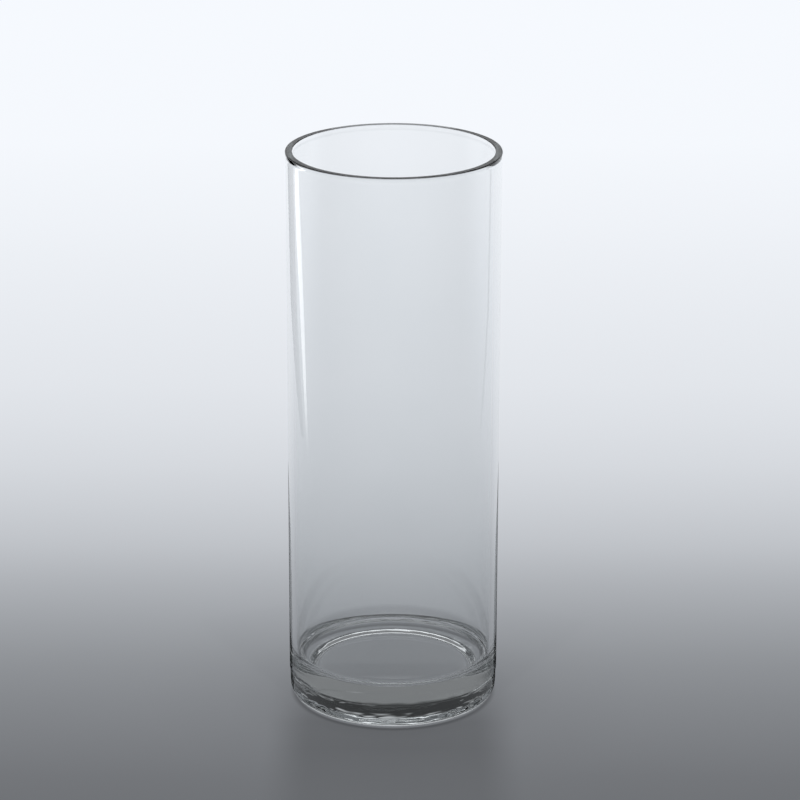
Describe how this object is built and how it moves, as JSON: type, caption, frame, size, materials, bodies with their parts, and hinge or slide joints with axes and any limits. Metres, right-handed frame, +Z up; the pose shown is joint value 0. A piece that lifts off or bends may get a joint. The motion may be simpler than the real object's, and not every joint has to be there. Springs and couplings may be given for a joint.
{
  "type": "cylinder vase",
  "caption": "Straight-sided clear glass cylinder vase with a fire-polished rim and a heavy base, for cut flowers.",
  "frame": {"origin": "centre of the circle that the foot ring stands on", "axes": "+Z up along the axis of the cylinder, out of the mouth; X and Y are equivalent"},
  "size_m": [0.1006, 0.1006, 0.27],
  "materials": {
    "clear_glass": "clear, fire-polished, very faint cool tint in the thick base"
  },
  "bodies": {
    "root": {"cylinder_wall": "clear_glass", "base": "clear_glass"}
  },
  "joints": []
}
